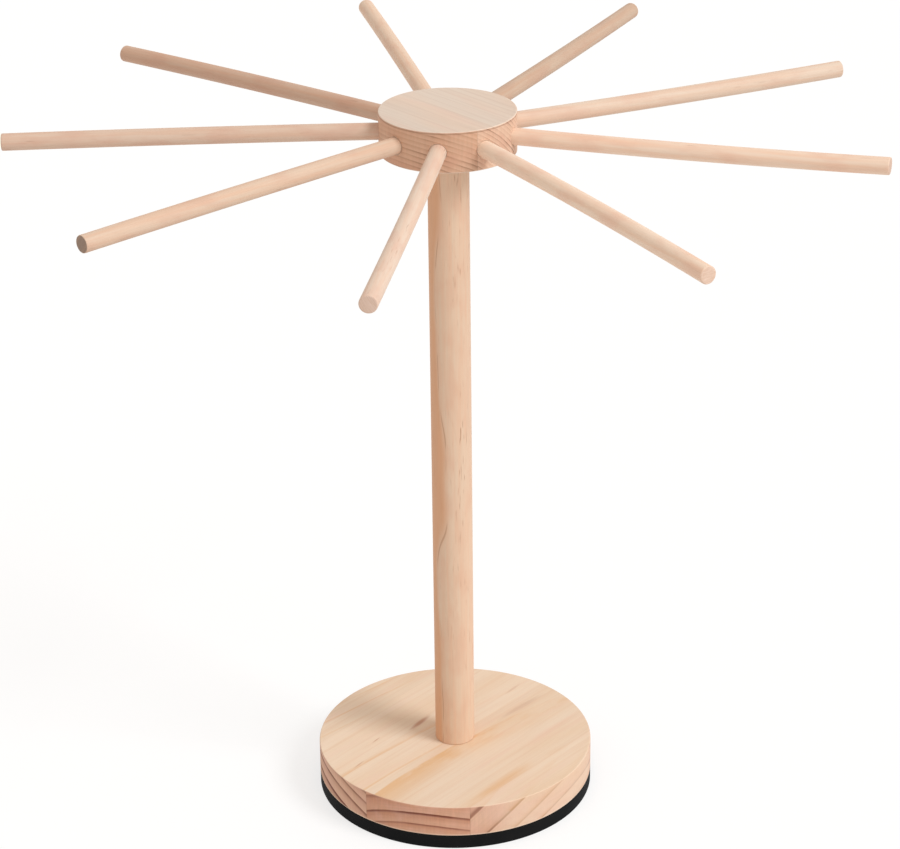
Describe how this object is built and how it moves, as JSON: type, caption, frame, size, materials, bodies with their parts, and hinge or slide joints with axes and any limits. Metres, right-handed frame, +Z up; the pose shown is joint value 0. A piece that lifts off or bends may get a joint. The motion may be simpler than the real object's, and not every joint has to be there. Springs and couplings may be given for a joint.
{
  "type": "pasta drying rack",
  "caption": "Free-standing wooden rack for drying fresh pasta: straight round arms radiate level from a turning hub on a tall post, on a round padded base.",
  "frame": {"origin": "centre of the foot pad's underside, on the post's axis", "axes": "+Z up along the post; arm_1 points along -Y, and the arms are numbered anticlockwise from above"},
  "size_m": [0.455, 0.448, 0.4],
  "materials": {
    "base_pine": "bare, sanded",
    "hub_pine": "bare, sanded",
    "post_beech": "bare, sanded",
    "arm_beech": "bare, sanded",
    "pad_rubber": "matte",
    "plated_steel": "zinc plated",
    "zinc_alloy": "die cast"
  },
  "bodies": {
    "stand": {"base_disc": "base_pine", "base_pad": "pad_rubber", "base_tee_nut": "plated_steel", "base_hanger_bolt": "plated_steel", "post": "post_beech", "hub_hanger_bolt": "plated_steel"},
    "hub": {"hub": "hub_pine", "hub_insert_nut": "zinc_alloy"},
    "arm_1": {"arm_1": "arm_beech"},
    "arm_2": {"arm_2": "arm_beech"},
    "arm_3": {"arm_3": "arm_beech"},
    "arm_4": {"arm_4": "arm_beech"},
    "arm_5": {"arm_5": "arm_beech"},
    "arm_6": {"arm_6": "arm_beech"},
    "arm_7": {"arm_7": "arm_beech"},
    "arm_8": {"arm_8": "arm_beech"},
    "arm_9": {"arm_9": "arm_beech"}
  },
  "joints": [
    {"name": "hub_turn", "type": "hinge", "parent": "stand", "child": "hub", "pos_m": [0, 0, 0.378], "axis": [0, 0, 1], "continuous": true},
    {"name": "arm_1_pull", "type": "slide", "parent": "hub", "child": "arm_1", "axis": [0, -1, 0], "range_m": [0, 0.0157]},
    {"name": "arm_2_pull", "type": "slide", "parent": "hub", "child": "arm_2", "axis": [0.6428, -0.766, 0], "range_m": [0, 0.0157]},
    {"name": "arm_3_pull", "type": "slide", "parent": "hub", "child": "arm_3", "axis": [0.9848, -0.1736, 0], "range_m": [0, 0.0157]},
    {"name": "arm_4_pull", "type": "slide", "parent": "hub", "child": "arm_4", "axis": [0.866, 0.5, 0], "range_m": [0, 0.0157]},
    {"name": "arm_5_pull", "type": "slide", "parent": "hub", "child": "arm_5", "axis": [0.342, 0.9397, 0], "range_m": [0, 0.0157]},
    {"name": "arm_6_pull", "type": "slide", "parent": "hub", "child": "arm_6", "axis": [-0.342, 0.9397, 0], "range_m": [0, 0.0157]},
    {"name": "arm_7_pull", "type": "slide", "parent": "hub", "child": "arm_7", "axis": [-0.866, 0.5, 0], "range_m": [0, 0.0157]},
    {"name": "arm_8_pull", "type": "slide", "parent": "hub", "child": "arm_8", "axis": [-0.9848, -0.1736, 0], "range_m": [0, 0.0157]},
    {"name": "arm_9_pull", "type": "slide", "parent": "hub", "child": "arm_9", "axis": [-0.6428, -0.766, 0], "range_m": [0, 0.0157]}
  ]
}
